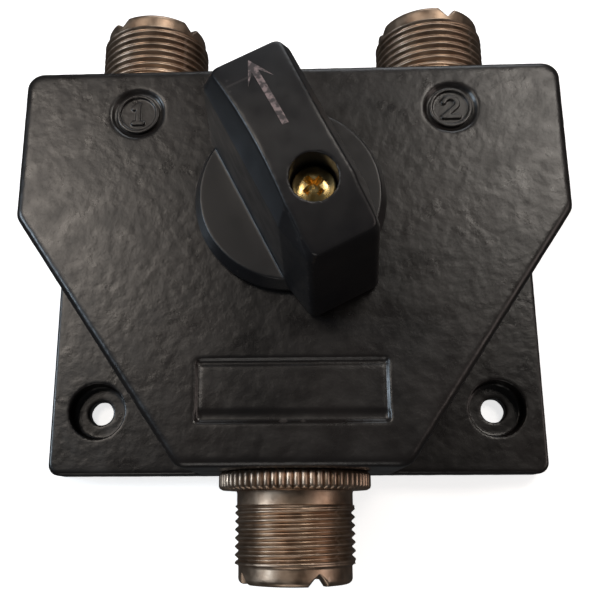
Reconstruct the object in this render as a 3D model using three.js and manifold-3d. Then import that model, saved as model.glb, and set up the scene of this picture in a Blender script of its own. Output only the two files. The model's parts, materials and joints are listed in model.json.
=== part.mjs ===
// Two-way coaxial antenna switch: a die-cast box with one common socket, two output sockets and a bar knob.
// Millimetres, +Z up. The origin is on the rear mounting face, on the knob's axis. +Y points to the outputs.
import * as THREE from "three";
import { mergeVertices } from "three/addons/utils/BufferGeometryUtils.js";
import Module from "manifold-3d";

const wasm = await Module();
wasm.setup();

// Housing
const HALF_WIDTH = 36.4;
const TOP_Y = 19.8;
const SHOULDER_Y = -1.4; // where the straight sides end and the diagonals begin
const BOTTOM_Y = -34.0;
const FOOT_HALF_WIDTH = 14.2;
const FRONT_Z = 24.6;
const FLANGE_Z = 4.6;
const CORNER_RADIUS = 2.5;
const FRONT_BEVEL = 0.8;
const WALL = 3;
const TOP_WALL = 5;
const CEILING_Z = FRONT_Z - WALL; // inner side of the front wall
const MOUNT_HOLE = { x: 29.5, y: -24.6, r: 1.8, sinkRadius: 4.1, seatZ: 2 };
const DIAL_MARK = { xs: [-20.6, 21.4], y: 13.1, inner: 2.85, outer: 3.5, depth: 0.4 };
const NAME_PLATE = { y: -24.7, width: 23.8, height: 7.8, depth: 0.5 };

// Rear cover
const COVER_INSET = 2;
const COVER_THICK = 1.5;
const COVER_RECESS = 1.6;
const BOSSES = [
  [-31.2, 12.2],
  [31.2, 12.2],
  [-17, -18],
  [17, -18],
];
const BOSS_RADIUS = 2.8;
const COVER_SCREW = { r: 1.1, head: 2.05, headZ: 0.85, tipZ: 6.5 };

// Sockets: heights along their own axis start at the seat of the knurled ring
const SOCKET_Z = 12.3;
const SOCKET_X = 20.9;
const SOCKET_SINK = 1.8; // how far the output sockets' rings sit inside the top wall
const SOCKET_LENGTH = 14.1;
const RING = { r: 10.2, length: 2.4 };
const NECK = { r: 7.75, end: 4.4 };
const THREAD = { r: 7.94, end: 11.7 };
const NOSE_RADIUS = 7.45;
const SPIGOT = { r: 7, length: 4 };
const BORE_RADIUS = 6;
const BORE_FLOOR = 1;
const NOTCH = { depth: 1.5, halfWidth: 1.4 };
const INSULATOR_TOP = 8.6;
const INSULATOR_NECK = 4;
const CONTACT = { r: 2.7, bore: 2, tail: 1.2, tailEnd: -9.5 };

// Rotor stack, by height
const BLADE_Z = [12, 12.6];
const LEAF_Z = [
  [11.35, 11.75],
  [12.85, 13.25],
];
const BLADE_REACH = 14.2; // the tip passes 0.5 mm inside the top wall
const DISC_RADIUS = 9;
const FORK_RADIUS = 13.5;
const FORK_HALF_WIDTH = 1.9;
const HUB_RADIUS = 6.5;
const PLATE_Z = [14.35, 14.95];
const DETENT_Z = [17.6, 18.4];
const DETENT_RADIUS = 10.6;
const BALL = { r: 1.25, path: 9.5 };
const SPRING_POCKET = { boss: 2.6, r: 1.45, topZ: FRONT_Z - 1.2 };
const STOP = { r: 1.75, reach: 12.6, play: 0.15 }; // lugs that the detent plate's tab meets
const HUB_BORE = 2.05;
const SHAFT_RADIUS = 3;
const SHAFT_END_Z = 30.4;
const BUSH = { r: 4.95, flange: 6.3, z: 20.4, shoulderZ: CEILING_Z - 0.1, topZ: 25.9 };
const SHAFT_TIP = { r: 2.2, z: 28, flat: 1.5 }; // flatted end that turns the knob
const THROW = Math.PI / 3; // angle between the two positions
const REST_ANGLE = Math.PI / 2 + THROW / 2; // the blade points at output 1

// Knob
const KNOB_ANGLE = (26.5 * Math.PI) / 180; // bar's turn from +Y towards output 1
const SKIRT = { r: 12.4, rim: 11.5, z: FRONT_Z + 0.5, top: FRONT_Z + 3 };
const BAR_TOP_Z = 45.5;
const BAR_CORNER = 1.2;
const BAR_CROWN = 42; // radius of the top's arch
// The outline at three heights: [distance along the bar, half width] at its tip, waist and tail.
const BAR_LEVELS = [
  { z: SKIRT.z, tip: [12.6, 5.8], waist: [-10, 5.8], tail: [-15.5, 4.7] },
  { z: 41.5, tip: [10.8, 5.4], waist: [-8.5, 5.3], tail: [-14, 4.2] },
  { z: BAR_TOP_Z, tip: [9.8, 3.8], waist: [-7.5, 3.7], tail: [-13.4, 3.3] },
];
const SCREW_OFFSET = -6.4; // the knob screw's place along the bar, towards the tail
const SCREW_SEAT_Z = 41;
const SCREW_WELL_RADIUS = 2.65;
const KNOB_HOLLOW = { r: 5.5, topZ: 27.4 }; // stays under the bar, so the skirt keeps its thickness
const DRIVER = { z: [28.6, 30.2], half: 3.2, tip: 4.5, tail: -9 };

const COLORS = {
  casting: [0x1c1a1a, 0.45, 0.2],
  sheet: [0x8d8f90, 0.4, 0.9],
  steel: [0xa9abad, 0.35, 0.9],
  nickel: [0x8f8478, 0.35, 0.9],
  teflon: [0xe9e6df, 0.6, 0],
  silver: [0xc9c6be, 0.3, 0.95],
  phenolic: [0x6b3a22, 0.6, 0],
  brass: [0xc29a45, 0.3, 0.9],
  knob: [0x17171a, 0.35, 0],
};

const group = new THREE.Group();

function addPart(name, made, [color, roughness, metalness]) {
  const geometry = made.isBufferGeometry ? made : geometryOf(made);
  const material = new THREE.MeshStandardMaterial({ color, roughness, metalness });
  const mesh = new THREE.Mesh(geometry, material);
  mesh.name = name;
  group.add(mesh);
  return mesh;
}

function solid(geometry) {
  const bare = geometry.clone();
  bare.deleteAttribute("normal");
  bare.deleteAttribute("uv");
  const merged = mergeVertices(bare, 1e-4);
  return new wasm.Manifold(
    new wasm.Mesh({
      numProp: 3,
      vertProperties: merged.attributes.position.array,
      triVerts: new Uint32Array(merged.index.array),
    }),
  );
}

function geometryOf(made) {
  const mesh = made.getMesh();
  return new THREE.BufferGeometry()
    .setAttribute("position", new THREE.BufferAttribute(mesh.vertProperties, 3))
    .setIndex(new THREE.BufferAttribute(mesh.triVerts, 1));
}

const cut = (base, ...tools) => tools.reduce((rest, tool) => rest.subtract(tool), base);
const join = (base, ...others) => others.reduce((sum, other) => sum.add(other), base);

function box(x0, x1, y0, y1, z0, z1) {
  return solid(
    new THREE.BoxGeometry(x1 - x0, y1 - y0, z1 - z0).translate((x0 + x1) / 2, (y0 + y1) / 2, (z0 + z1) / 2),
  );
}

function post(radius, z0, z1, x = 0, y = 0, sides = 16) {
  const upright = new THREE.CylinderGeometry(radius, radius, z1 - z0, sides).rotateX(Math.PI / 2);
  return solid(upright.translate(x, y, (z0 + z1) / 2));
}

// A turned piece about +Z from [radius, height] pairs in counter-clockwise order.
function turned(profile, sides) {
  const points = profile.map(([r, z]) => new THREE.Vector2(r, z));
  const closed = profile[0][0] === 0 ? points : [...points, points[0]];
  return solid(new THREE.LatheGeometry(closed, sides).rotateX(Math.PI / 2));
}

const ringOf = (inner, outer, z0, z1, sides = 20) =>
  turned([[inner, z0], [outer, z0], [outer, z1], [inner, z1]], sides);

function prism(shape, z0, z1, curveSegments = 3) {
  const depth = z1 - z0;
  const geometry = new THREE.ExtrudeGeometry(shape, { depth, bevelEnabled: false, curveSegments });
  return solid(geometry.translate(0, 0, z0));
}

// A closed outline through the points, each corner rounded by its radius.
function roundedOutline(points, radius) {
  const shape = new THREE.Shape();
  points.forEach((corner, i) => {
    const before = points[(i + points.length - 1) % points.length];
    const after = points[(i + 1) % points.length];
    const start = corner.clone().add(before.clone().sub(corner).setLength(radius));
    const end = corner.clone().add(after.clone().sub(corner).setLength(radius));
    if (i === 0) shape.moveTo(start.x, start.y);
    else shape.lineTo(start.x, start.y);
    shape.quadraticCurveTo(corner.x, corner.y, end.x, end.y);
  });
  return shape;
}

// The shield outline, moved inwards by inset, with the top edge moved in by its own amount.
function shield(inset, topInset = inset) {
  const run = HALF_WIDTH - FOOT_HALF_WIDTH;
  const rise = SHOULDER_Y - BOTTOM_Y;
  const slant = (inset * Math.hypot(run, rise)) / run; // shift of the diagonal along Y
  const side = HALF_WIDTH - inset;
  const slope = rise / run;
  const shoulder = SHOULDER_Y + slant - slope * inset;
  const bottom = BOTTOM_Y + inset;
  const foot = side - (shoulder - bottom) / slope;
  const right = [
    [side, TOP_Y - topInset],
    [side, shoulder],
    [foot, bottom],
  ];
  const left = right.map(([x, y]) => [-x, y]).reverse();
  return [...left, ...right].map(([x, y]) => new THREE.Vector2(x, y));
}

function capsule(ax, ay, bx, by, half) {
  const along = Math.atan2(by - ay, bx - ax);
  const shape = new THREE.Shape();
  shape.absarc(bx, by, half, along - Math.PI / 2, along + Math.PI / 2, false);
  shape.absarc(ax, ay, half, along + Math.PI / 2, along + (3 * Math.PI) / 2, false);
  return shape;
}

function bodyCasting() {
  const outline = roundedOutline(shield(FRONT_BEVEL), CORNER_RADIUS);
  const raised = solid(
    new THREE.ExtrudeGeometry(outline, {
      depth: FRONT_Z - 2 * FRONT_BEVEL,
      bevelThickness: FRONT_BEVEL,
      bevelSize: FRONT_BEVEL,
      bevelSegments: 1,
      curveSegments: 3,
    }).translate(0, 0, FRONT_BEVEL),
  );
  const corners = [
    [-HALF_WIDTH, BOTTOM_Y],
    [HALF_WIDTH, BOTTOM_Y],
    [HALF_WIDTH, TOP_Y],
    [-HALF_WIDTH, TOP_Y],
  ].map(([x, y]) => new THREE.Vector2(x, y));
  const base = prism(roundedOutline(corners, CORNER_RADIUS), 0, FLANGE_Z);
  const cavity = prism(roundedOutline(shield(WALL, TOP_WALL), CORNER_RADIUS), -1, CEILING_Z);
  const recess = prism(roundedOutline(shield(COVER_INSET - 0.15), CORNER_RADIUS), -1, COVER_RECESS);
  const bosses = BOSSES.map(([x, y]) => post(BOSS_RADIUS, COVER_RECESS, CEILING_Z + 1, x, y, 14));
  const bossHoles = BOSSES.map(([x, y]) => post(COVER_SCREW.r + 0.1, 0, COVER_SCREW.tipZ + 0.5, x, y, 12));
  const springBoss = post(SPRING_POCKET.boss, DETENT_Z[1] + 1.2, CEILING_Z + 1, BALL.path, 0, 14);
  const springPocket = post(SPRING_POCKET.r, CEILING_Z - 4, SPRING_POCKET.topZ, BALL.path, 0, 12);
  const lugs = [-1, 1].map((side) => post(STOP.r, DETENT_Z[0] - 0.6, CEILING_Z + 1, ...stopLug(side), 12));
  const hollow = cut(join(raised, base), cavity, recess);
  const filled = join(hollow, ...bosses, springBoss, ...lugs);
  return cut(
    filled,
    ...bossHoles,
    springPocket,
    post(BUSH.r + 0.1, CEILING_Z - 1, FRONT_Z + 1, 0, 0, 24),
    ...socketSeats(),
    ...frontMarks(),
    ...mountHoles(),
  );
}

// The two stops stand where the detent plate's tab meets them at the ends of the throw.
function stopLug(side) {
  const gap = (2 * STOP.r + STOP.play) / STOP.reach;
  const angle = -Math.PI / 2 + side * (THROW / 2 + gap);
  return [STOP.reach * Math.cos(angle), STOP.reach * Math.sin(angle)];
}

// Tools for the spigot holes, and the shallow seats that take the output sockets' rings.
function socketSeats() {
  const start = -SPIGOT.length - 2;
  const hole = turned([[0, start], [SPIGOT.r + 0.1, start], [SPIGOT.r + 0.1, 3], [0, 3]], 20);
  const seat = turned([[0, 0], [RING.r + 0.25, 0], [RING.r + 0.25, 5], [0, 5]], 28);
  return [
    placeSocket(hole, 0, -1),
    placeSocket(hole, -SOCKET_X, 1),
    placeSocket(hole, SOCKET_X, 1),
    placeSocket(seat, -SOCKET_X, 1),
    placeSocket(seat, SOCKET_X, 1),
  ];
}

// Turns a +Z piece to a socket's axis: side 1 for the outputs on the top wall, -1 for the common socket.
function placeSocket(made, x, side) {
  const y = side > 0 ? TOP_Y - SOCKET_SINK : BOTTOM_Y;
  return solid(geometryOf(made).rotateX((-side * Math.PI) / 2).translate(x, y, SOCKET_Z));
}

function frontMarks() {
  const { xs, y, inner, outer, depth } = DIAL_MARK;
  const ring = ringOf(inner, outer, FRONT_Z - depth, FRONT_Z + 1, 20);
  const rings = xs.map((x) => ring.translate([x, y, 0]));
  const plate = NAME_PLATE;
  const field = box(
    -plate.width / 2,
    plate.width / 2,
    plate.y - plate.height / 2,
    plate.y + plate.height / 2,
    FRONT_Z - plate.depth,
    FRONT_Z + 1,
  );
  return [...rings, field];
}

function mountHoles() {
  const { x, y, r, sinkRadius, seatZ } = MOUNT_HOLE;
  return [-x, x].flatMap((cx) => [
    post(r, -1, FLANGE_Z + 1, cx, y),
    post(sinkRadius, seatZ, FLANGE_Z + 1, cx, y, 20),
  ]);
}

function backCover() {
  const plate = prism(roundedOutline(shield(COVER_INSET), CORNER_RADIUS), 0, COVER_THICK);
  const holes = BOSSES.flatMap(([x, y]) => [
    post(COVER_SCREW.r + 0.15, -1, COVER_THICK + 1, x, y, 16),
    post(COVER_SCREW.head + 0.15, -1, COVER_SCREW.headZ + 0.05, x, y, 20),
  ]);
  return cut(plate, ...holes);
}

// A screw pointing to +Z with its cross-recessed head down at z = 0.
function crossScrew(head, headHeight, shank, length, sides = 20) {
  const profile = [[0, 0], [head, 0], [head, headHeight], [shank, headHeight], [shank, length], [0, length]];
  const blank = turned(profile, sides);
  const reach = head * 0.6;
  const slot = head * 0.14;
  const depth = headHeight * 0.55;
  return cut(blank, box(-reach, reach, -slot, slot, -1, depth), box(-slot, slot, -reach, reach, -1, depth));
}

function socketShell(clocking) {
  const profile = [
    [INSULATOR_NECK + 0.1, -SPIGOT.length],
    [SPIGOT.r, -SPIGOT.length],
    [SPIGOT.r, 0],
    [RING.r, 0],
    [RING.r, RING.length],
    [NECK.r, RING.length],
    [NECK.r, NECK.end],
    [THREAD.r, NECK.end],
    [THREAD.r, THREAD.end],
    [NOSE_RADIUS, THREAD.end],
    [NOSE_RADIUS, SOCKET_LENGTH],
    [BORE_RADIUS, SOCKET_LENGTH],
    [BORE_RADIUS, BORE_FLOOR],
    [INSULATOR_NECK + 0.1, BORE_FLOOR],
  ];
  const vee = new THREE.Shape([
    new THREE.Vector2(0, -NOTCH.depth),
    new THREE.Vector2(NOTCH.halfWidth * 1.5, NOTCH.depth / 2),
    new THREE.Vector2(-NOTCH.halfWidth * 1.5, NOTCH.depth / 2),
  ]);
  const length = 2 * NOSE_RADIUS + 4;
  const groove = new THREE.ExtrudeGeometry(vee, { depth: length, bevelEnabled: false })
    .translate(0, 0, -length / 2)
    .rotateX(Math.PI / 2)
    .translate(0, 0, SOCKET_LENGTH);
  const turns = [clocking, clocking + Math.PI / 2];
  return cut(turned(profile, 28), ...turns.map((angle) => solid(groove.clone().rotateZ(angle))));
}

function insulator() {
  return turned(
    [
      [CONTACT.tail + 0.1, -SPIGOT.length - 0.8],
      [INSULATOR_NECK, -SPIGOT.length - 0.8],
      [INSULATOR_NECK, BORE_FLOOR + 0.1],
      [BORE_RADIUS - 0.1, BORE_FLOOR + 0.1],
      [BORE_RADIUS - 0.1, INSULATOR_TOP],
      [CONTACT.r + 0.1, INSULATOR_TOP],
      [CONTACT.r + 0.1, -1.1],
      [CONTACT.tail + 0.1, -1.1],
    ],
    20,
  );
}

function centerContact() {
  const { r, bore, tail, tailEnd } = CONTACT;
  const profile = [
    [0, tailEnd],
    [tail, tailEnd],
    [tail, -1],
    [r, -1],
    [r, INSULATOR_TOP],
    [bore, INSULATOR_TOP],
    [bore, 0.6],
    [0, 0.6],
  ];
  const slot = 0.25;
  const reach = r + 1;
  const slotFloor = 3;
  return cut(
    turned(profile, 16),
    box(-reach, reach, -slot, slot, slotFloor, INSULATOR_TOP + 1),
    box(-slot, slot, -reach, reach, slotFloor, INSULATOR_TOP + 1),
  );
}

// Two spring leaves joined by a block on the centre contact's tail; the blade slides between the leaves.
function forkContact(tailX, tailY, mouthX, mouthY) {
  const outline = () => capsule(tailX, tailY, mouthX, mouthY, FORK_HALF_WIDTH);
  const leaves = LEAF_Z.map(([low, high]) => prism(outline(), low, high, 6));
  const half = 2.1;
  const block = box(tailX - half, tailX + half, tailY - half, tailY + half, SOCKET_Z - half, SOCKET_Z + half);
  const pin = new THREE.CylinderGeometry(CONTACT.tail + 0.1, CONTACT.tail + 0.1, 12, 16);
  const room = solid(pin.translate(tailX, tailY, SOCKET_Z));
  return cut(join(block, ...leaves), room);
}

// A flat arm along +X from r0 to r1, turned to an angle.
const arm = (r0, r1, half, z0, z1, angle) =>
  box(r0, r1, -half, half, z0, z1).rotate([0, 0, THREE.MathUtils.radToDeg(angle)]);

function contactBlade() {
  const disc = post(DISC_RADIUS, ...BLADE_Z, 0, 0, 28);
  const pointer = arm(0, BLADE_REACH, 1.75, ...BLADE_Z, REST_ANGLE);
  return cut(join(disc, pointer), post(4, BLADE_Z[0] - 1, BLADE_Z[1] + 1, 0, 0, 24));
}

// Grounds the output that is not selected: a finger at either side of the blade, stepped down to its level.
function groundPlate() {
  const disc = post(HUB_RADIUS, ...PLATE_Z, 0, 0, 32);
  const fingers = [-THROW, THROW].flatMap((side) => {
    const angle = REST_ANGLE + side;
    return [
      arm(0, 11.2, 1.6, ...PLATE_Z, angle),
      arm(10.6, 11.2, 1.6, BLADE_Z[0], PLATE_Z[1], angle),
      arm(10.6, BLADE_REACH, 1.6, ...BLADE_Z, angle),
    ];
  });
  return cut(join(disc, ...fingers), post(HUB_BORE, PLATE_Z[0] - 1, PLATE_Z[1] + 1));
}

function rotorHub() {
  const spigot = 3.9;
  const profile = [
    [HUB_BORE, 10],
    [HUB_RADIUS, 10],
    [HUB_RADIUS, 11.95],
    [spigot, 11.95],
    [spigot, 14.3],
    [HUB_BORE, 14.3],
  ];
  return turned(profile, 20);
}

function shaft() {
  const blank = turned(
    [
      [0, 10],
      [2, 10],
      [2, PLATE_Z[1] + 0.05],
      [SHAFT_RADIUS, PLATE_Z[1] + 0.05],
      [SHAFT_RADIUS, 26.1],
      [2.5, 26.1],
      [2.5, 27.1],
      [SHAFT_RADIUS, 27.1],
      [SHAFT_RADIUS, SHAFT_TIP.z],
      [SHAFT_TIP.r, SHAFT_TIP.z],
      [SHAFT_TIP.r, SHAFT_END_Z],
      [0, SHAFT_END_Z],
    ],
    20,
  );
  const flat = box(SHAFT_TIP.flat, 5, -5, 5, SHAFT_TIP.z, SHAFT_END_Z + 1);
  return cut(blank, post(1.05, 9, 14), turnedToBar(flat));
}

function detentPlate() {
  const disc = post(DETENT_RADIUS, ...DETENT_Z, 0, 0, 28);
  const tab = arm(0, 14, STOP.r, ...DETENT_Z, -Math.PI / 2 + THROW / 2);
  const dimples = [0, THROW].map((angle) => {
    const place = [BALL.path * Math.cos(angle), BALL.path * Math.sin(angle)];
    return post(0.9, DETENT_Z[1] - 0.4, DETENT_Z[1] + 1, ...place, 12);
  });
  const hole = post(SHAFT_RADIUS + 0.05, DETENT_Z[0] - 1, DETENT_Z[1] + 1, 0, 0, 20);
  return cut(join(disc, tab), hole, ...dimples);
}

function shaftBush() {
  const bore = SHAFT_RADIUS + 0.06;
  const { r, flange, z, shoulderZ, topZ } = BUSH;
  return turned([[bore, z], [flange, z], [flange, shoulderZ], [r, shoulderZ], [r, topZ], [bore, topZ]], 24);
}

// A spring washer with three waves.
function waveWasher() {
  const outline = new THREE.Shape().absarc(0, 0, 5, 0, 2 * Math.PI, false);
  outline.holes.push(new THREE.Path().absarc(0, 0, SHAFT_RADIUS + 0.25, 0, 2 * Math.PI, true));
  const options = { depth: 0.35, bevelEnabled: false, curveSegments: 18 };
  const geometry = new THREE.ExtrudeGeometry(outline, options);
  const place = geometry.attributes.position;
  for (let i = 0; i < place.count; i++) {
    const wave = 0.5 * Math.sin(3 * Math.atan2(place.getY(i), place.getX(i)));
    place.setZ(i, place.getZ(i) + wave + 19.2);
  }
  return solid(geometry);
}

function retainingRing() {
  const ring = ringOf(2.56, 4.4, 26.2, 27, 28);
  return cut(ring, box(1, 6, -1.5, 1.5, 26, 28));
}

// Four turns of round wire above the detent ball.
function detentSpring() {
  const low = 20.95;
  const high = FRONT_Z - 1.5;
  const turns = 4;
  const steps = 40;
  const points = [];
  for (let i = 0; i <= steps; i++) {
    const angle = (2 * Math.PI * turns * i) / steps;
    const height = low + 0.2 + ((high - low - 0.4) * i) / steps;
    points.push(new THREE.Vector3(BALL.path + 1.05 * Math.cos(angle), 1.05 * Math.sin(angle), height));
  }
  const wire = new THREE.Shape().absarc(0, 0, 0.16, 0, 2 * Math.PI, false);
  return solid(
    new THREE.ExtrudeGeometry(wire, {
      steps,
      curveSegments: 2,
      bevelEnabled: false,
      extrudePath: new THREE.CatmullRomCurve3(points),
    }),
  );
}

const turnedToBar = (made) => made.rotate([0, 0, 90 + THREE.MathUtils.radToDeg(KNOB_ANGLE)]);

// The bar, lofted through its levels with its tip towards +X. A cylinder lying across it arches the top.
function knobBar() {
  const rings = BAR_LEVELS.map(({ z, tip, waist, tail }) => {
    const left = [tip, waist, tail];
    const right = left.map(([x, half]) => [x, -half]).reverse();
    const corners = [...left, ...right].map(([x, y]) => new THREE.Vector2(x, y));
    const points = roundedOutline(corners, BAR_CORNER).getPoints(3).slice(0, -1);
    return points.map((p) => [p.x, p.y, z]);
  });
  const arch = new THREE.CylinderGeometry(BAR_CROWN, BAR_CROWN, 20, 128);
  return solid(loft(rings)).intersect(solid(arch.translate(0, 0, BAR_TOP_Z - BAR_CROWN)));
}

// Joins rings of equal point counts into one closed body with flat ends.
function loft(rings) {
  const count = rings[0].length;
  const triangles = [];
  for (let level = 0; level + 1 < rings.length; level++) {
    for (let i = 0; i < count; i++) {
      const a = level * count + i;
      const b = level * count + ((i + 1) % count);
      triangles.push(a, b, a + count, b, b + count, a + count);
    }
  }
  const last = (rings.length - 1) * count;
  for (let i = 1; i + 1 < count; i++) {
    triangles.push(0, i + 1, i);
    triangles.push(last, last + i, last + i + 1);
  }
  return new THREE.BufferGeometry()
    .setAttribute("position", new THREE.Float32BufferAttribute(rings.flat(2), 3))
    .setIndex(triangles);
}

function knob() {
  const skirt = turned([[0, SKIRT.z], [SKIRT.r, SKIRT.z], [SKIRT.rim, SKIRT.top], [0, SKIRT.top + 0.3]], 44);
  const hollow = post(KNOB_HOLLOW.r, SKIRT.z - 1, KNOB_HOLLOW.topZ, 0, 0, 24);
  const slack = 0.2;
  const { tail, tip, half } = DRIVER;
  const pocket = box(tail - slack, tip + slack, -half - slack, half + slack, 27, 30.6);
  const well = post(SCREW_WELL_RADIUS, SCREW_SEAT_Z, BAR_TOP_Z + 1, SCREW_OFFSET, 0, 20);
  const screwHole = post(1.4, 30, BAR_TOP_Z, SCREW_OFFSET, 0, 16);
  return cut(join(turnedToBar(knobBar()), skirt), hollow, ...[pocket, well, screwHole].map(turnedToBar));
}

function driverPlate() {
  const { z, half, tip, tail } = DRIVER;
  const round = post(SHAFT_TIP.r + 0.06, z[0] - 1, z[1] + 1, 0, 0, 20);
  const hole = cut(round, box(SHAFT_TIP.flat + 0.06, 5, -5, 5, z[0] - 2, z[1] + 2));
  const tapped = post(1.32, z[0] - 1, z[1] + 1, SCREW_OFFSET, 0, 16);
  return turnedToBar(cut(box(tail, tip, -half, half, ...z), hole, tapped));
}

function knobScrew() {
  const flipped = crossScrew(2.35, 1.6, 1.25, SCREW_SEAT_Z + 1.6 - 28.2, 24).rotate([180, 0, 0]);
  return turnedToBar(flipped.translate([SCREW_OFFSET, 0, SCREW_SEAT_Z + 1.65]));
}

addPart("body_casting", bodyCasting(), COLORS.casting);
addPart("back_cover", backCover(), COLORS.sheet);
BOSSES.forEach(([x, y], i) => {
  const { head, headZ, r, tipZ } = COVER_SCREW;
  const screw = addPart(`cover_screw_${i + 1}`, crossScrew(head, headZ - 0.05, r, tipZ, 16), COLORS.steel);
  screw.position.set(x, y, 0.05);
});

const SOCKETS = [
  { name: "output_1", x: -SOCKET_X, side: 1, clocking: 0.95, mouth: REST_ANGLE },
  { name: "output_2", x: SOCKET_X, side: 1, clocking: 0.27, mouth: REST_ANGLE - THROW },
  { name: "common", x: 0, side: -1, clocking: -0.43, mouth: -Math.PI / 2 },
];
for (const { name, x, side, clocking, mouth } of SOCKETS) {
  addPart(`socket_shell_${name}`, placeSocket(socketShell(clocking), x, side), COLORS.nickel);
  addPart(`insulator_${name}`, placeSocket(insulator(), x, side), COLORS.teflon);
  addPart(`center_contact_${name}`, placeSocket(centerContact(), x, side), COLORS.silver);
  const tailY = side > 0 ? TOP_Y - SOCKET_SINK + CONTACT.tailEnd + 0.4 : BOTTOM_Y - CONTACT.tailEnd - 0.4;
  const reach = side > 0 ? FORK_RADIUS : DISC_RADIUS + 0.5;
  const fork = forkContact(x, tailY, reach * Math.cos(mouth), reach * Math.sin(mouth));
  addPart(`fork_contact_${name}`, fork, COLORS.silver);
}

addPart("rotor_hub", rotorHub(), COLORS.phenolic);
addPart("contact_blade", contactBlade(), COLORS.silver);
addPart("rotor_spacer", ringOf(4, HUB_RADIUS, 12.65, 14.3), COLORS.phenolic);
addPart("ground_plate", groundPlate(), COLORS.silver);
addPart("rotor_washer", ringOf(1.1, 3.5, 9.55, 9.95, 24), COLORS.steel);
addPart("rotor_screw", crossScrew(2.4, 1.4, 0.95, 5.2, 20), COLORS.steel).position.set(0, 0, 8.1);
addPart("shaft", shaft(), COLORS.brass);
addPart("detent_plate", detentPlate(), COLORS.steel);
addPart("shaft_bush", shaftBush(), COLORS.brass);
addPart("wave_washer", waveWasher(), COLORS.steel);
addPart("retaining_ring", retainingRing(), COLORS.steel);
addPart("detent_ball", new THREE.SphereGeometry(BALL.r, 12, 8), COLORS.steel).position.set(
  BALL.path,
  0,
  DETENT_Z[1] + BALL.r + 0.06,
);
addPart("detent_spring", detentSpring(), COLORS.steel);
addPart("knob", knob(), COLORS.knob);
addPart("driver_plate", driverPlate(), COLORS.steel);
addPart("knob_screw", knobScrew(), COLORS.brass);

export default group;
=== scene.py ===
"""Two-way coaxial antenna switch: visible surfaces, materials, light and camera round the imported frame."""

import json
import math

import bpy
import numpy as np
from mathutils import Matrix, Vector, noise


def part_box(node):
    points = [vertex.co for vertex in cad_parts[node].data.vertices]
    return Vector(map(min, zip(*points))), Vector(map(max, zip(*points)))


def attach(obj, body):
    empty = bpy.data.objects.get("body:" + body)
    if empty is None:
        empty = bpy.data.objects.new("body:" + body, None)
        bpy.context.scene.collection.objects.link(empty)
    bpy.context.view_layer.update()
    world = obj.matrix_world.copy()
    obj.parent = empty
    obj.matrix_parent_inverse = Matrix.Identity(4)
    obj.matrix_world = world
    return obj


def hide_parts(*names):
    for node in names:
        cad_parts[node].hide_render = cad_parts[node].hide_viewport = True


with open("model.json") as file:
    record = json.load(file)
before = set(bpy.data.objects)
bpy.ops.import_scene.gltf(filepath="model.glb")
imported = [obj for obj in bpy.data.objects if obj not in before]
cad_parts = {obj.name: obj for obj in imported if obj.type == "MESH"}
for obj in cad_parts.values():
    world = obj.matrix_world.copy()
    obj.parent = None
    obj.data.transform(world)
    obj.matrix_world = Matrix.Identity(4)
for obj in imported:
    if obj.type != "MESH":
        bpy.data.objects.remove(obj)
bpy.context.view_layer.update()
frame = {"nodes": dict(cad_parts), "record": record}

MM = 0.001

# Housing, in millimetres; what the frame holds is read from it
body_low, body_high = [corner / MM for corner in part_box("body_casting")]
HALF_WIDTH, TOP_Y, FRONT_Z = body_high
BOTTOM_Y = body_low.y
SHOULDER_Y = -1.4
FOOT_HALF_WIDTH = 14.2
FLANGE_Z = 4.6
FLANGE_CORNER = 1.6
FLANGE_ROUND = 0.6
CORNER_RADIUS = 2.2
FRONT_ROUND = 1.1
WALL = 3.0
TOP_WALL = 5.0
CEILING_Z = FRONT_Z - WALL
COVER_INSET = 1.85
COVER_RECESS = 1.6
BOSSES = [(-31.2, 12.2), (31.2, 12.2), (-17, -18), (17, -18)]
SPRING_BOSS = {"x": 9.5, "r": 2.6, "bore": 1.45, "z": 19.6, "top": FRONT_Z - 1.2}
STOP_LUG = {"r": 1.75, "reach": 12.6, "z": 17.0, "angle": 46.6}
MOUNT_HOLE = {"x": 29.5, "y": -24.6, "r": 1.8, "sink": 4.1, "seat": 2.0}
BUSH_HOLE_RADIUS = 5.05
BOSS_RADIUS = 2.8
ROOT = 1.2  # how far parts raised on the front start below it
MARK = {
    "x": (-20.6, 21.4), "y": 13.1, "outer": 3.5, "inner": 2.85,
    "field": 2.4, "depth": 0.5, "sunk": 0.36, "stroke": 0.62,
}
PLATE = {
    "y": -24.7, "width": 23.8, "height": 7.8, "depth": 0.55,
    "panel_width": 22.8, "panel_height": 5.5, "panel_up": 0.35, "rise": 0.25,
}
CAST_VOXEL = 0.24
MARK_VOXEL = 0.07

# Sockets: heights along their own axis start at the seat of the knurled ring
SOCKET_Z = sum(corner.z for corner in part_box("socket_shell_common")) / 2 / MM
SOCKET_X = sum(corner.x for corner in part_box("socket_shell_output_2")) / 2 / MM
SOCKET_LENGTH = 14.1
OUTPUT_SEAT_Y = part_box("socket_shell_output_1")[1].y / MM - SOCKET_LENGTH
COMMON_SEAT_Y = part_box("socket_shell_common")[0].y / MM + SOCKET_LENGTH
SPIGOT = {"r": 7.0, "length": 4.0}
RING = {"r": 10.15, "length": 2.4, "teeth": 64, "depth": 0.4}
NECK = {"r": 7.7, "end": 4.4}
THREAD = {"r": 7.93, "end": 11.7, "pitch": 25.4 / 24, "depth": 0.45}
NOSE_RADIUS = 7.45
NOSE_ROUND = 0.7
BORE_RADIUS = 6.0
BORE_FLOOR = 1.0
NOTCH = {"depth": 1.5, "half_width": 1.35}
INSULATOR = {"neck": 4.0, "top": 8.6}
CONTACT = {"r": 2.7, "bore": 2.0, "tail": 1.2, "tail_end": -9.5, "slot": 0.25, "slot_floor": 3.0}
AROUND = 384

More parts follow.
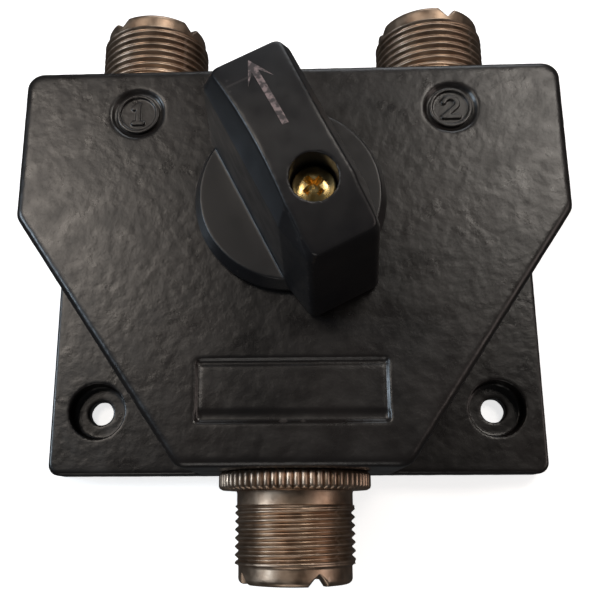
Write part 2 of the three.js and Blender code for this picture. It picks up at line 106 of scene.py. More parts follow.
# Knob
KNOB_ANGLE = math.radians(26.5)
SKIRT = {"r": 12.35, "rim": 11.5, "z": FRONT_Z + 0.5, "top": FRONT_Z + 3}
BAR_TOP_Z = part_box("knob")[1].z / MM - 0.05
# The bar's outline at three heights: (distance along the bar, half width) at its tip, waist and tail
BAR_LEVELS = [
    (SKIRT["z"], (12.6, 5.8), (-10, 5.8), (-15.5, 4.7)),
    (41.5, (10.8, 5.4), (-8.5, 5.3), (-14, 4.2)),
    (BAR_TOP_Z, (9.8, 3.8), (-7.5, 3.7), (-13.4, 3.3)),
]
BAR_CORNER = 1.0
BAR_CROWN = 42.0
BAR_SOFTENING = 18
SCREW = {
    "offset": -6.4, "seat": 41.0, "well": 2.6, "head": 2.42,
    "height": 1.6, "shank": 1.2, "end": 28.3,
}
SCREW_HOLE = {"r": 1.4, "low": 30}
PLATE_POCKET = {"x": (-9.2, 4.7), "half": 3.4, "z": (27, 30.6)}
HOLLOW = {"r": 5.5, "top": 27.4}
ARROW = {
    "tip": 9.1, "head": 5.9, "barb": 1.5, "tail": 0.0,
    "half_head": 1.5, "half_shaft": 0.36, "proud": 0.02, "depth": 0.4,
}
KNOB_VOXEL = 0.13


# ---------------------------------------------------------------- meshes


def mesh_object(name, vertices, faces, smooth=True):
    """A new object from millimetre vertices."""
    mesh = bpy.data.meshes.new(name)
    mesh.from_pydata([tuple(v) for v in np.asarray(vertices, float) * MM], [], faces)
    mesh.validate()
    mesh.polygons.foreach_set("use_smooth", [smooth] * len(mesh.polygons))
    piece = bpy.data.objects.new(name, mesh)
    bpy.context.scene.collection.objects.link(piece)
    return piece


def loft(name, rings):
    """Joins rings of equal point counts, counter-clockwise seen from the last one, into a closed body."""
    count = len(rings[0])
    faces = []
    for level in range(len(rings) - 1):
        for i in range(count):
            j = (i + 1) % count
            low = level * count
            faces.append((low + i, low + j, low + count + j, low + count + i))
    last = (len(rings) - 1) * count
    faces.append(tuple(reversed(range(count))))
    faces.append(tuple(range(last, last + count)))
    return mesh_object(name, np.concatenate(rings), faces)


def revolve(name, profile, around=64):
    """A closed body about +Z from (radius, height) pairs, counter-clockwise; off the axis it is a tube."""
    angles = np.linspace(0, 2 * math.pi, around, endpoint=False)
    vertices, rings = [], []
    for radius, height in profile:
        if radius == 0:
            rings.append([len(vertices)] * around)
            vertices.append((0, 0, height))
        else:
            rings.append(list(range(len(vertices), len(vertices) + around)))
            vertices.extend((radius * math.cos(a), radius * math.sin(a), height) for a in angles)
    loops = list(zip(rings, rings[1:]))
    if profile[0][0] > 0:
        loops.append((rings[-1], rings[0]))
    faces = []
    for low, high in loops:
        for i in range(around):
            j = (i + 1) % around
            corners = [low[i], low[j], high[j], high[i]]
            faces.append(tuple(dict.fromkeys(corners)))
    return mesh_object(name, vertices, [face for face in faces if len(face) > 2])


def prism(name, outline, z0, z1):
    flat = np.asarray(outline, float)
    return loft(name, [np.column_stack([flat, np.full(len(flat), z)]) for z in (z0, z1)])


def disc(name, radius, z0, z1, x=0.0, y=0.0, around=48):
    angles = np.linspace(0, 2 * math.pi, around, endpoint=False)
    return prism(name, np.column_stack([x + radius * np.cos(angles), y + radius * np.sin(angles)]), z0, z1)


def slab(name, x0, x1, y0, y1, z0, z1):
    return prism(name, [(x0, y0), (x1, y0), (x1, y1), (x0, y1)], z0, z1)


def rounded(corners, radius, steps=8):
    """An outline through convex corners, counter-clockwise, each rounded by an arc."""
    points = []
    corners = [Vector(c) for c in corners]
    for i, corner in enumerate(corners):
        back = (corners[i - 1] - corner).normalized()
        ahead = (corners[(i + 1) % len(corners)] - corner).normalized()
        half = back.angle(ahead) / 2
        centre = corner + (back + ahead).normalized() * (radius / math.sin(half))
        start = corner + back * (radius / math.tan(half)) - centre
        sweep = math.pi - 2 * half
        for step in range(steps + 1):
            turn = Matrix.Rotation(sweep * step / steps, 2)
            points.append(centre + turn @ start)
    return np.array([(p.x, p.y) for p in points])


def shield(inset, top_inset=None):
    """Corners of the housing's outline, moved inwards by inset."""
    top_inset = inset if top_inset is None else top_inset
    slope = (SHOULDER_Y - BOTTOM_Y) / (HALF_WIDTH - FOOT_HALF_WIDTH)
    side = HALF_WIDTH - inset
    shoulder = SHOULDER_Y + inset * math.hypot(1, slope) - slope * inset
    bottom = BOTTOM_Y + inset
    foot = side - (shoulder - bottom) / slope
    top = TOP_Y - top_inset
    return [(-side, top), (-side, shoulder), (-foot, bottom), (foot, bottom), (side, shoulder), (side, top)]


def at_height(outline, z):
    return np.column_stack([outline, np.full(len(outline), z)])


def boolean(base, tools, operation):
    """Cuts, joins or intersects with each tool, and removes it."""
    for tool in tools:
        modifier = base.modifiers.new(operation, "BOOLEAN")
        modifier.operation = operation
        modifier.solver = "MANIFOLD"
        modifier.object = tool
    settle(base)
    for tool in tools:
        bpy.data.objects.remove(tool)
    return base


def settle(piece):
    """Applies a piece's modifiers to its mesh."""
    depsgraph = bpy.context.evaluated_depsgraph_get()
    mesh = bpy.data.meshes.new_from_object(piece.evaluated_get(depsgraph))
    piece.modifiers.clear()
    piece.data = mesh
    return piece


def soften(piece, voxel, rounds):
    """Fuses a piece into one even skin and rounds its edges as a mould or paint does."""
    remesh = piece.modifiers.new("fuse", "REMESH")
    remesh.mode = "VOXEL"
    remesh.voxel_size = voxel * MM
    remesh.use_smooth_shade = True
    relax = piece.modifiers.new("relax", "SMOOTH")
    relax.factor = 0.5
    relax.iterations = rounds
    return settle(piece)


def merge(name, pieces):
    """One object with the meshes of several."""
    vertices, faces = [], []
    for piece in pieces:
        start = len(vertices)
        vertices.extend(piece.matrix_world @ v.co / MM for v in piece.data.vertices)
        faces.extend(tuple(start + i for i in p.vertices) for p in piece.data.polygons)
        bpy.data.objects.remove(piece)
    return mesh_object(name, vertices, faces)


def turn(piece, matrix):
    piece.data.transform(matrix)
    return piece


def millimetres(x, y, z):
    return Matrix.Translation(Vector((x, y, z)) * MM)


def shade_by_angle(piece, degrees=35):
    """Smooth shading that keeps edges sharper than an angle."""
    limit = math.radians(degrees)
    mesh = piece.data
    mesh.polygons.foreach_set("use_smooth", [True] * len(mesh.polygons))
    normals = [p.normal for p in mesh.polygons]
    sides = {}
    for polygon in mesh.polygons:
        for key in polygon.edge_keys:
            sides.setdefault(key, []).append(polygon.index)
    for edge in mesh.edges:
        near = sides.get(tuple(sorted(edge.vertices)), [])
        if len(near) == 2 and normals[near[0]].angle(normals[near[1]], 0) > limit:
            edge.use_edge_sharp = True
    return piece


# ---------------------------------------------------------------- materials


class Shader:
    """A procedural material: a Principled shader with noise driving its colour, roughness and bump."""

    def __init__(self, name):
        self.material = bpy.data.materials.new(name)
        self.material.use_nodes = True
        self.nodes = self.material.node_tree.nodes
        self.links = self.material.node_tree.links
        self.shader = self.nodes["Principled BSDF"]
        self.place = self.nodes.new("ShaderNodeTexCoord").outputs["Object"]

    def set(self, **values):
        for key, value in values.items():
            self.shader.inputs[key.replace("_", " ")].default_value = value
        return self

    def noise(self, size, detail=2.0):
        """Noise whose features are about size millimetres across."""
        texture = self.nodes.new("ShaderNodeTexNoise")
        texture.inputs["Scale"].default_value = 1 / (size * MM)
        texture.inputs["Detail"].default_value = detail
        self.links.new(self.place, texture.inputs["Vector"])
        return texture.outputs["Fac"]

    def pointiness(self):
        return self.nodes.new("ShaderNodeNewGeometry").outputs["Pointiness"]

    def ramp(self, source, stops):
        node = self.nodes.new("ShaderNodeValToRGB")
        elements = node.color_ramp.elements
        for element, (position, colour) in zip(elements, stops):
            element.position = position
            element.color = (*colour, 1)
        self.links.new(source, node.inputs["Fac"])
        return node.outputs["Color"]

    def spread(self, source, low, high, start=0.3, end=0.7):
        node = self.nodes.new("ShaderNodeMapRange")
        for key, value in (("From Min", start), ("From Max", end), ("To Min", low), ("To Max", high)):
            node.inputs[key].default_value = value
        self.links.new(source, node.inputs["Value"])
        return node.outputs["Result"]

    def mix(self, share, first, second):
        node = self.nodes.new("ShaderNodeMix")
        node.data_type = "RGBA"
        self.links.new(share, node.inputs["Factor"])
        for socket, value in ((node.inputs["A"], first), (node.inputs["B"], second)):
            if isinstance(value, tuple):
                socket.default_value = (*value, 1)
            else:
                self.links.new(value, socket)
        return node.outputs["Result"]

    def drive(self, key, source):
        self.links.new(source, self.shader.inputs[key])
        return self

    def bump(self, source, depth, strength=1.0):
        """Adds a bump of depth millimetres on top of the ones already there."""
        node = self.nodes.new("ShaderNodeBump")
        node.inputs["Strength"].default_value = strength
        node.inputs["Distance"].default_value = depth * MM
        self.links.new(source, node.inputs["Height"])
        before = self.shader.inputs["Normal"].links
        if before:
            self.links.new(before[0].from_socket, node.inputs["Normal"])
        self.links.new(node.outputs["Normal"], self.shader.inputs["Normal"])
        return self


def black_paint():
    s = Shader("black_paint").set(Metallic=0.0, IOR=1.5)
    s.shader.inputs["Specular IOR Level"].default_value = 0.5
    base = s.ramp(s.noise(9, 3), [(0.35, (0.008, 0.007, 0.0068)), (0.7, (0.0145, 0.012, 0.0112))])
    # Where the surface is convex (high pointiness) the colour is mixed towards a lighter grey: a painted
    # highlight along the edges.
    painted_edge_highlight = s.spread(s.pointiness(), 0, 0.5, 0.53, 0.62)
    s.drive("Base Color", s.mix(painted_edge_highlight, base, (0.075, 0.066, 0.062)))
    s.drive("Roughness", s.spread(s.noise(3.5, 3), 0.25, 0.39))
    s.bump(s.noise(0.8, 1.5), 0.05, 0.5)
    s.bump(s.noise(0.3, 2), 0.02, 0.4)
    return s.material


def knob_plastic():
    s = Shader("knob_plastic").set(Metallic=0.0, IOR=1.5)
    s.shader.inputs["Specular IOR Level"].default_value = 0.42
    base = s.ramp(s.noise(6, 2), [(0.3, (0.0095, 0.0095, 0.011)), (0.7, (0.015, 0.014, 0.0145))])
    # Where the surface is convex (high pointiness) the colour is mixed towards a lighter grey: a painted
    # highlight along the edges.
    painted_edge_highlight = s.spread(s.pointiness(), 0, 0.35, 0.53, 0.6)
    s.drive("Base Color", s.mix(painted_edge_highlight, base, (0.07, 0.06, 0.06)))
    s.drive("Roughness", s.spread(s.noise(2.5, 3), 0.3, 0.4))
    s.bump(s.noise(0.5, 3), 0.012, 0.35)
    return s.material


def nickel():
    s = Shader("tarnished_nickel").set(Metallic=1.0)
    dull = s.ramp(s.noise(2.2, 4), [(0.32, (0.29, 0.20, 0.14)), (0.72, (0.48, 0.365, 0.275))])
    crest = s.spread(s.pointiness(), 0, 0.6, 0.5, 0.6)
    s.drive("Base Color", s.mix(crest, dull, (0.62, 0.50, 0.40)))
    s.drive("Roughness", s.spread(s.noise(1.4, 3), 0.3, 0.48))
    s.bump(s.noise(0.5, 3), 0.02, 0.35)
    return s.material


def metal(name, dark, light, roughness, grain=1.5):
    s = Shader(name).set(Metallic=1.0)
    s.drive("Base Color", s.ramp(s.noise(grain, 3), [(0.3, dark), (0.7, light)]))
    s.drive("Roughness", s.spread(s.noise(grain * 0.7, 3), roughness - 0.06, roughness + 0.08))
    s.bump(s.noise(grain * 0.3, 2), 0.01, 0.3)
    return s.material


def moulded(name, dark, light, roughness, grain=2.0):
    s = Shader(name).set(Metallic=0.0)
    s.drive("Base Color", s.ramp(s.noise(grain, 3), [(0.3, dark), (0.7, light)]))
    s.drive("Roughness", s.spread(s.noise(grain * 0.6, 2), roughness - 0.05, roughness + 0.08))
    s.bump(s.noise(grain * 0.3, 2), 0.01, 0.3)
    return s.material


def arrow_paint():
    s = Shader("arrow_paint").set(Metallic=0.0)
    gone = s.spread(s.noise(0.8, 4), 0, 1, 0.42, 0.56)
    s.drive("Base Color", s.mix(gone, (0.25, 0.19, 0.19), (0.05, 0.04, 0.042)))
    s.drive("Roughness", s.spread(s.noise(0.7, 3), 0.45, 0.65))
    s.bump(s.noise(0.4, 2), 0.01, 0.4)
    return s.material


MATERIALS = {
    "black_paint": black_paint(),
    "knob_plastic": knob_plastic(),
    "nickel_plate": nickel(),
    "sheet_steel": metal("sheet_steel", (0.36, 0.36, 0.36), (0.52, 0.52, 0.51), 0.38, 5.0),
    "steel": metal("zinc_steel", (0.42, 0.42, 0.43), (0.60, 0.60, 0.61), 0.3),
    "brass": metal("brass", (0.62, 0.42, 0.14), (0.90, 0.72, 0.36), 0.2, 1.0),
    "silver_plate": metal("silver_plate", (0.58, 0.55, 0.49), (0.80, 0.78, 0.73), 0.25),
    "insulator": moulded("white_insulator", (0.62, 0.59, 0.52), (0.80, 0.78, 0.72), 0.4),
    "phenolic": moulded("phenolic", (0.14, 0.055, 0.025), (0.22, 0.095, 0.045), 0.5),
}
ARROW_PAINT = arrow_paint()


def finish_piece(piece, body, slot, nodes=(), material=None):
    piece.data.materials.clear()
    piece.data.materials.append(material or MATERIALS[slot])
    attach(piece, body)
    if nodes:
        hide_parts(*nodes)
    return piece


# ---------------------------------------------------------------- housing


def edge_rounded(name, outline_at, z0, z1, radius, steps=6):
    """A slab whose upper edge is a quarter round; outline_at(inset) gives its outline."""
    rings = [at_height(outline_at(0), z0)]
    for step in range(steps + 1):
        angle = math.pi / 2 * step / steps
        inset = radius * (1 - math.cos(angle))
        rings.append(at_height(outline_at(inset), z1 - radius + radius * math.sin(angle)))
    return loft(name, rings)


def flange_outline(inset):
    side, top, bottom = HALF_WIDTH - inset, TOP_Y - inset, BOTTOM_Y + inset
    return rounded([(-side, top), (-side, bottom), (side, bottom), (side, top)], FLANGE_CORNER)


def stroke(points, width, z0, z1):
    """A raised line of constant width, as one capsule for each stretch."""
    pieces = []
    for (ax, ay), (bx, by) in zip(points, points[1:]):
        along = math.atan2(by - ay, bx - ax)
        angles = np.linspace(-math.pi / 2, math.pi / 2, 9)
        far = [(bx + width / 2 * math.cos(along + a), by + width / 2 * math.sin(along + a)) for a in angles]
        near = [(ax - width / 2 * math.cos(along + a), ay - width / 2 * math.sin(along + a)) for a in angles]
        pieces.append(prism("stroke", far + near, z0, z1))
    return pieces


def digit_one(x, y):
    return [
        [(x - 0.6, y + 0.85), (x, y + 1.4), (x, y - 1.35)],
        [(x - 0.6, y - 1.35), (x + 0.6, y - 1.35)],
    ]


def digit_two(x, y):
    angles = np.radians(np.linspace(165, -35, 12))
    bow = [(x + 0.9 * math.cos(a), y + 0.6 + 0.85 * math.sin(a)) for a in angles]
    return [[*bow, (x - 0.95, y - 1.35), (x + 1.05, y - 1.35)]]


def casting():
    body = edge_rounded(
        "casting", lambda inset: rounded(shield(inset), CORNER_RADIUS), 0, FRONT_Z, FRONT_ROUND
    )
    flange = edge_rounded("flange", flange_outline, 0, FLANGE_Z, FLANGE_ROUND)
    boolean(body, [flange], "UNION")
    tools = [
        prism("cavity", rounded(shield(WALL, TOP_WALL), CORNER_RADIUS), -1, CEILING_Z),
        prism("recess", rounded(shield(COVER_INSET), CORNER_RADIUS), -1, COVER_RECESS),
        disc("bush_hole", BUSH_HOLE_RADIUS, CEILING_Z - 1, FRONT_Z + 1),
        disc("spring_pocket", SPRING_BOSS["bore"], CEILING_Z - 1, SPRING_BOSS["top"], SPRING_BOSS["x"], 0),
    ]
    for x in (-MOUNT_HOLE["x"], MOUNT_HOLE["x"]):
        tools.append(disc("hole", MOUNT_HOLE["r"], -1, FLANGE_Z + 1, x, MOUNT_HOLE["y"]))
        tools.append(disc("sink", MOUNT_HOLE["sink"], MOUNT_HOLE["seat"], FLANGE_Z + 1, x, MOUNT_HOLE["y"]))
    bore_r, bore_low = SPIGOT["r"] + 0.15, -SPIGOT["length"] - 2
    well_r = RING["r"] + 0.35
    seats = ((0, COMMON_SEAT_Y, -1), (-SOCKET_X, OUTPUT_SEAT_Y, 1), (SOCKET_X, OUTPUT_SEAT_Y, 1))
    for x, seat, side in seats:
        bore = revolve("bore", [(0, bore_low), (bore_r, bore_low), (bore_r, 3), (0, 3)])
        tools.append(to_socket(bore, x, seat, side))
        if side > 0:
            well = revolve("well", [(0, 0), (well_r, 0), (well_r, 5), (0, 5)])
            tools.append(to_socket(well, x, seat, side))
    tools.extend(face_cuts())
    boolean(body, tools, "DIFFERENCE")
    bosses = [disc("boss", BOSS_RADIUS, COVER_RECESS, CEILING_Z + 1, x, y) for x, y in BOSSES]
    bore, outer, low = SPRING_BOSS["bore"], SPRING_BOSS["r"], SPRING_BOSS["z"]
    tube = revolve("spring_boss", [(bore, low), (outer, low), (outer, CEILING_Z + 1), (bore, CEILING_Z + 1)])
    bosses.append(turn(tube, millimetres(SPRING_BOSS["x"], 0, 0)))
    for side in (-1, 1):
        angle = math.radians(-90 + side * STOP_LUG["angle"])
        x, y = STOP_LUG["reach"] * math.cos(angle), STOP_LUG["reach"] * math.sin(angle)
        bosses.append(disc("stop_lug", STOP_LUG["r"], STOP_LUG["z"], CEILING_Z + 1, x, y))
    body = merge("casting", [body, *bosses, *face_rises()])
    soften(body, CAST_VOXEL, 5)
    orange_peel(body, 0.02, 1.1)
    return finish_piece(body, "housing", "black_paint", ["body_casting"])


def face_cuts():
    """Sunk parts of the front face: a round pocket at each mark, and the name plate's field."""
    tools = []
    for x in MARK["x"]:
        tools.append(disc("pocket", MARK["outer"], FRONT_Z - MARK["depth"], FRONT_Z + 1, x, MARK["y"], 96))
    half, tall = PLATE["width"] / 2, PLATE["height"] / 2
    low, high = PLATE["y"] - tall, PLATE["y"] + tall
    tools.append(slab("plate", -half, half, low, high, FRONT_Z - PLATE["depth"], FRONT_Z + 1))
    return tools


def face_rises():
    """The blank panel raised in the name plate's field."""
    half, tall = PLATE["panel_width"] / 2, PLATE["panel_height"] / 2
    middle = PLATE["y"] + PLATE["panel_up"]
    top = FRONT_Z - PLATE["depth"] + PLATE["rise"]
    return [slab("panel", -half, half, middle - tall, middle + tall, FRONT_Z - ROOT, top)]


def mark_island(name, x, digit):
    """The round island in a mark's pocket: a low rim round a sunk field with a raised digit."""
    y = MARK["y"]
    low = FRONT_Z - ROOT
    island = disc(name, MARK["inner"], low, FRONT_Z - 0.06, x, y, 128)
    field = disc("field", MARK["field"], FRONT_Z - MARK["sunk"], FRONT_Z + 1, x, y, 128)
    boolean(island, [field], "DIFFERENCE")
    lines = [line for path in digit(x, y) for line in stroke(path, MARK["stroke"], low + 0.2, FRONT_Z - 0.08)]
    island = merge(name, [island, *lines])
    soften(island, MARK_VOXEL, 5)
    return finish_piece(island, "housing", "black_paint")


def orange_peel(piece, height, size):
    """Real waviness of sprayed paint: moves each point inwards along its normal by smooth noise."""
    mesh = piece.data
    count = len(mesh.vertices)
    place = np.empty(count * 3)
    normal = np.empty(count * 3)
    mesh.vertices.foreach_get("co", place)
    mesh.vertices.foreach_get("normal", normal)
    place, normal = place.reshape(-1, 3), normal.reshape(-1, 3)
    scaled = place / (size * MM)
    waves = np.fromiter((noise.noise(Vector(p)) for p in scaled), float, count)
    mesh.vertices.foreach_set("co", (place + normal * ((waves - 1) * height * MM)[:, None]).ravel())
    mesh.update()


# ---------------------------------------------------------------- sockets


def to_socket(piece, x, seat_y, side):
    """Turns a +Z piece to a socket's axis: side 1 for the outputs, -1 for the common socket."""
    tilt = Matrix.Rotation(-side * math.pi / 2, 4, "X")
    return turn(piece, millimetres(x, seat_y, SOCKET_Z) @ tilt)


def notched(height, angles, clocking):
    """Height of each point of a row once the rim's four V notches are pressed into it."""
    floor = SOCKET_LENGTH - NOTCH["depth"] - 0.3
    if height <= floor:
        return np.full_like(angles, height)
    off = (angles - clocking + math.pi / 4) % (math.pi / 2) - math.pi / 4
    share = np.clip(1 - np.abs(off) * NOSE_RADIUS / NOTCH["half_width"], 0, 1)
    rim = SOCKET_LENGTH - NOTCH["depth"] * share
    return floor + (height - floor) * (rim - floor) / (SOCKET_LENGTH - floor)


def thread_radius(height, angles):
    """A 60-degree thread with narrow flats, which runs out at both ends."""
    phase = (height / THREAD["pitch"] - angles / (2 * math.pi)) % 1
    valley = np.clip(1.3 * np.abs(2 * phase - 1) - 0.15, 0, 1)
    ends = min((height - NECK["end"]) / 0.5, (THREAD["end"] - height) / 0.6, 1)
    return THREAD["r"] - THREAD["depth"] * valley * max(ends, 0)


def knurl_radius(angles, share):
    """Straight teeth round the ring; share runs from 0, plain, to 1, full depth."""
    wave = np.abs(np.sin(angles * RING["teeth"] / 2)) ** 0.8
    return RING["r"] - RING["depth"] * (1 - wave) * share


def socket_shell(name, x, seat_y, side, clocking):
    angles = np.linspace(0, 2 * math.pi, AROUND, endpoint=False)
    plain = np.ones_like(angles)
    rows = [(plain * r, plain * z) for r, z in [
        (INSULATOR["neck"] + 0.1, -SPIGOT["length"]),
        (SPIGOT["r"] - 0.3, -SPIGOT["length"]),
        (SPIGOT["r"], -SPIGOT["length"] + 0.3),
        (SPIGOT["r"], 0),
        (RING["r"] - 0.75, 0),
    ]]
    for z, drop, share in (
        (0.02, 0.45, 0), (0.3, 0.08, 1), (0.55, 0, 1), (1.2, 0, 1),
        (1.85, 0, 1), (2.15, 0.1, 1), (2.38, 0.5, 0),
    ):
        rows.append((knurl_radius(angles, share) - drop, plain * z))
    rows += [(plain * r, plain * z) for r, z in [
        (RING["r"] - 0.8, RING["length"]),
        (NECK["r"] + 0.35, RING["length"]),
        (NECK["r"] + 0.08, RING["length"] + 0.12),
        (NECK["r"], RING["length"] + 0.4),
        (NECK["r"], NECK["end"] - 0.15),
    ]]
    for z in np.arange(NECK["end"], THREAD["end"] + 0.01, THREAD["pitch"] / 12):
        rows.append((thread_radius(z, angles), plain * z))
    rows.append((plain * (NOSE_RADIUS + 0.05), plain * (THREAD["end"] + 0.12)))
    rows.append((plain * NOSE_RADIUS, plain * (THREAD["end"] + 0.3)))
    for z in np.linspace(12.1, SOCKET_LENGTH - NOSE_ROUND, 5):
        rows.append((plain * NOSE_RADIUS, notched(z, angles, clocking)))
    for angle in np.linspace(0, math.pi / 2, 7)[1:]:
        r = NOSE_RADIUS - NOSE_ROUND * (1 - math.cos(angle))
        z = SOCKET_LENGTH - NOSE_ROUND * (1 - math.sin(angle))
        rows.append((plain * r, notched(z, angles, clocking)))
    rows.append((plain * (BORE_RADIUS + 0.2), notched(SOCKET_LENGTH, angles, clocking)))
    for z in np.linspace(SOCKET_LENGTH - 0.2, 12.1, 6):
        rows.append((plain * BORE_RADIUS, notched(z, angles, clocking)))
    rows.append((plain * BORE_RADIUS, plain * BORE_FLOOR))
    rows.append((plain * (INSULATOR["neck"] + 0.1), plain * BORE_FLOOR))
    vertices = np.concatenate(
        [np.column_stack([r * np.cos(angles), r * np.sin(angles), z]) for r, z in rows]
    )
    faces = []
    for level in range(len(rows)):
        low, high = level * AROUND, (level + 1) % len(rows) * AROUND
        for i in range(AROUND):
            j = (i + 1) % AROUND
            faces.append((low + i, low + j, high + j, high + i))
    shell = shade_by_angle(mesh_object(f"shell_{name}", vertices, faces), 50)
    to_socket(shell, x, seat_y, side)
    return finish_piece(shell, "housing", "nickel_plate", [f"socket_shell_{name}"])


def insulator(name, x, seat_y, side):
    edge = 0.25
    outer = BORE_RADIUS - 0.1
    profile = [
        (CONTACT["tail"] + 0.1, -SPIGOT["length"] - 0.8),
        (INSULATOR["neck"], -SPIGOT["length"] - 0.8),
        (INSULATOR["neck"], BORE_FLOOR + 0.1),
        (outer, BORE_FLOOR + 0.1),
        (outer, INSULATOR["top"] - edge),
        (outer - edge, INSULATOR["top"]),
        (CONTACT["r"] + 0.1 + edge, INSULATOR["top"]),
        (CONTACT["r"] + 0.1, INSULATOR["top"] - edge),
        (CONTACT["r"] + 0.1, -1.1),
        (CONTACT["tail"] + 0.1, -1.1),
    ]
    piece = shade_by_angle(revolve(f"dielectric_{name}", profile, 96))
    to_socket(piece, x, seat_y, side)
    return finish_piece(piece, "housing", "insulator", [f"insulator_{name}"])


def center_contact(name, x, seat_y, side):
    top = INSULATOR["top"]
    profile = [
        (0, CONTACT["tail_end"]),
        (CONTACT["tail"], CONTACT["tail_end"]),
        (CONTACT["tail"], -1),
        (CONTACT["r"], -1),
        (CONTACT["r"], top - 0.2),
        (CONTACT["r"] - 0.2, top),
        (CONTACT["bore"] + 0.15, top),
        (CONTACT["bore"], top - 0.25),
        (CONTACT["bore"], 0.6),
        (0, 0.6),
    ]
    piece = revolve(f"pin_jack_{name}", profile, 64)
    reach, slot, floor = CONTACT["r"] + 1, CONTACT["slot"], CONTACT["slot_floor"]
    boolean(piece, [
        slab("slot", -reach, reach, -slot, slot, floor, top + 1),
        slab("slot", -slot, slot, -reach, reach, floor, top + 1),
    ], "DIFFERENCE")
    shade_by_angle(piece)
    to_socket(piece, x, seat_y, side)
    return finish_piece(piece, "housing", "silver_plate", [f"center_contact_{name}"])


# ---------------------------------------------------------------- knob


def to_bar(piece):
    """Turns a piece made along +X to the bar's direction."""
    return turn(piece, Matrix.Rotation(math.pi / 2 + KNOB_ANGLE, 4, "Z"))


def arch(radius):
    """A cylinder lying across the bar, whose top is the bar's arched top when its radius is BAR_CROWN."""
    piece = disc("arch", radius, -12, 12, around=512)
    across = millimetres(0, 0, BAR_TOP_Z - BAR_CROWN) @ Matrix.Rotation(math.pi / 2, 4, "X")
    return to_bar(turn(piece, across))


def knob():
    rings = []
    for z, *left in BAR_LEVELS:
        right = [(along, -half) for along, half in reversed(left)]
        rings.append(at_height(rounded([*left, *right], BAR_CORNER), z))
    bar = to_bar(loft("bar", rings))
    boolean(bar, [arch(BAR_CROWN)], "INTERSECT")
    soften(bar, KNOB_VOXEL, BAR_SOFTENING)
    skirt = revolve(
        "knob_skirt",
        [
            (0, SKIRT["z"]),
            (SKIRT["r"], SKIRT["z"]),
            (SKIRT["r"], SKIRT["z"] + 0.5),
            (SKIRT["rim"], SKIRT["top"]),
            (0, SKIRT["top"]),
        ],
        128,
    )
    boolean(bar, [skirt], "UNION")
    well = disc("well", SCREW["well"], SCREW["seat"], BAR_TOP_Z + 1, SCREW["offset"], 0)
    hole = disc("hole", SCREW_HOLE["r"], SCREW_HOLE["low"], BAR_TOP_Z, SCREW["offset"], 0)
    half = PLATE_POCKET["half"]
    pocket = slab("pocket", *PLATE_POCKET["x"], -half, half, *PLATE_POCKET["z"])
    hollow = disc("hollow", HOLLOW["r"], SKIRT["z"] - 1, HOLLOW["top"])
    boolean(bar, [to_bar(well), to_bar(hole), to_bar(pocket), hollow], "DIFFERENCE")
    bar.name = "bar_knob"
    soften(bar, KNOB_VOXEL, 4)
    return finish_piece(bar, "rotor", "knob_plastic", ["knob"])


def pointer_arrow():
    """The painted arrow on the bar's top face."""
    head, tail, shaft = ARROW["head"], ARROW["tail"], ARROW["half_shaft"]
    notch = head + ARROW["barb"]
    outline = [
        (ARROW["tip"], 0),
        (head, ARROW["half_head"]),
        (notch, shaft),
        (tail, shaft),
        (tail, -shaft),
        (notch, -shaft),
        (head, -ARROW["half_head"]),
    ]
    piece = to_bar(prism("pointer_arrow", outline, BAR_TOP_Z - 6, BAR_TOP_Z + 1))
    boolean(piece, [arch(BAR_CROWN + ARROW["proud"])], "INTERSECT")
    boolean(piece, [arch(BAR_CROWN - ARROW["depth"])], "DIFFERENCE")
    piece.data.polygons.foreach_set("use_smooth", [False] * len(piece.data.polygons))
    return finish_piece(piece, "rotor", "knob_plastic", material=ARROW_PAINT)


def knob_screw():
    top = SCREW["seat"] + SCREW["height"]
    head = SCREW["head"]
    seat = SCREW["seat"] + 0.05
    shank, end = SCREW["shank"], SCREW["end"]
    profile = [(0, end), (shank, end), (shank, seat), (head, seat), (head, seat + 0.85)]
    for angle in np.linspace(0, math.pi / 2, 7)[1:]:
        profile.append((head - 0.4 * (1 - math.cos(angle)), top - 0.6 + 0.35 * math.sin(angle)))
    for share in (0.66, 0.4, 0.2, 0):
        profile.append((head * share, top - 0.25 * share**2))
    piece = revolve("knob_fixing_screw", profile, 96)
    cross = []
    for spin in (math.radians(17), math.radians(107)):
        narrow, wide = 0.3, 0.45
        rings = []
        for z, half, reach in ((top - 1.1, narrow, 0.5), (top + 0.3, wide, 1.55)):
            corners = [(-reach, -half), (reach, -half), (reach, half), (-reach, half)]
            rings.append(at_height(np.array(corners), z))
        cross.append(turn(loft("cross", rings), Matrix.Rotation(spin, 4, "Z")))
    boolean(piece, cross, "DIFFERENCE")
    turn(piece, millimetres(SCREW["offset"], 0, 0))
    shade_by_angle(to_bar(piece), 30)
    return finish_piece(piece, "rotor", "brass", ["knob_screw"])


# ---------------------------------------------------------------- the object

casting()
for mark_name, mark_x, mark_digit in zip(("mark_1", "mark_2"), MARK["x"], (digit_one, digit_two)):
    mark_island(mark_name, mark_x, mark_digit)
for socket, socket_x, seat, facing, clock in (
    ("output_1", -SOCKET_X, OUTPUT_SEAT_Y, 1, 0.95),
    ("output_2", SOCKET_X, OUTPUT_SEAT_Y, 1, 0.27),
    ("common", 0, COMMON_SEAT_Y, -1, -0.43),
):
    socket_shell(socket, socket_x, seat, facing, clock)
    insulator(socket, socket_x, seat, facing)
    center_contact(socket, socket_x, seat, facing)
knob()
pointer_arrow()
knob_screw()

slots = {row["node"]: row["material_slot"] for row in frame["record"]["subparts"]}
for node_name, node in frame["nodes"].items():
    if not node.hide_render:
        node.data.materials.clear()
        node.data.materials.append(MATERIALS[slots[node_name]])

# ---------------------------------------------------------------- stage, light and camera

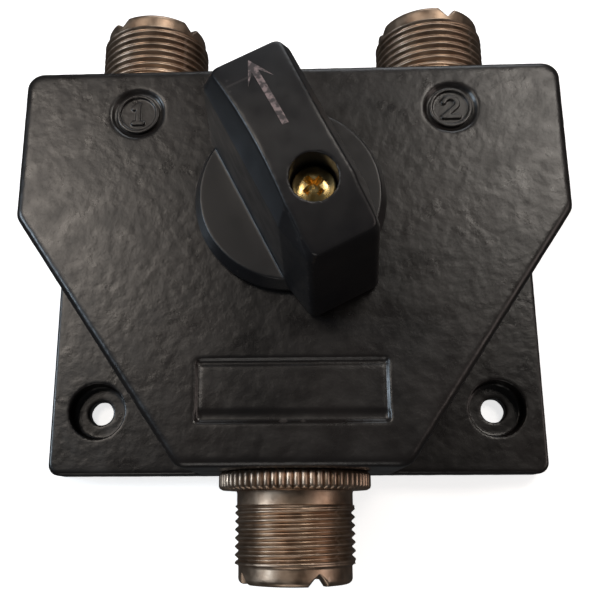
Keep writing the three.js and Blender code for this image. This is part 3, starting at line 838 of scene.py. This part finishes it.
floor = slab("floor", -900, 900, -900, 900, -2, -0.05)
floor_paint = Shader("floor_paint").set(Roughness=0.85)
floor_grey = [(0.3, (0.86, 0.86, 0.86)), (0.7, (0.9, 0.9, 0.9))]
floor_paint.drive("Base Color", floor_paint.ramp(floor_paint.noise(60, 2), floor_grey))
floor.data.materials.append(floor_paint.material)
floor_paint.shader.inputs["Emission Color"].default_value = (1, 1, 1, 1)
floor_paint.shader.inputs["Emission Strength"].default_value = 0.75
floor.visible_glossy = False
floor.visible_diffuse = False


def area_light(name, place, size, power, colour):
    data = bpy.data.lights.new(name, "AREA")
    data.shape = "DISK"
    data.size = size
    data.energy = power
    data.color = colour
    light = bpy.data.objects.new(name, data)
    bpy.context.scene.collection.objects.link(light)
    light.location = place
    light.rotation_euler = Vector(place).to_track_quat("Z", "Y").to_euler()


area_light("window", (-0.62, 0.05, 0.40), 0.25, 2.2, (0.72, 0.86, 1.0))
area_light("room", (0.60, -0.05, 0.40), 0.4, 0.7, (1.0, 0.84, 0.78))
area_light("sheen_left", (-0.42, 0.33, 0.88), 0.36, 2.5, (1.0, 0.90, 0.80))
area_light("sheen_right", (0.40, 0.46, 0.84), 0.36, 2.7, (1.0, 0.93, 0.85))
area_light("back", (0.10, 0.80, 0.28), 0.5, 1.6, (0.92, 0.96, 1.0))
area_light("front", (-0.10, -0.80, 0.22), 0.4, 0.7, (1.0, 0.95, 0.9))

world = bpy.data.worlds.new("studio")
world.use_nodes = True
world.node_tree.nodes["Background"].inputs["Color"].default_value = (0.95, 0.97, 1.0, 1)
world.node_tree.nodes["Background"].inputs["Strength"].default_value = 0.045
bpy.context.scene.world = world
bpy.context.scene.view_settings.view_transform = "Standard"

camera_data = bpy.data.cameras.new("camera")
camera_data.sensor_width = 36
camera_data.lens = 46.44
camera_data.shift_x = 0.0315
camera_data.shift_y = 0.0205
camera_data.clip_start = 0.005
camera = bpy.data.objects.new("camera", camera_data)
bpy.context.scene.collection.objects.link(camera)
camera.location = Vector((2.2, -39.1, 118.5)) * MM
camera.rotation_euler = [math.radians(angle) for angle in (14.42, 2.18, -0.16)]
bpy.context.scene.camera = camera
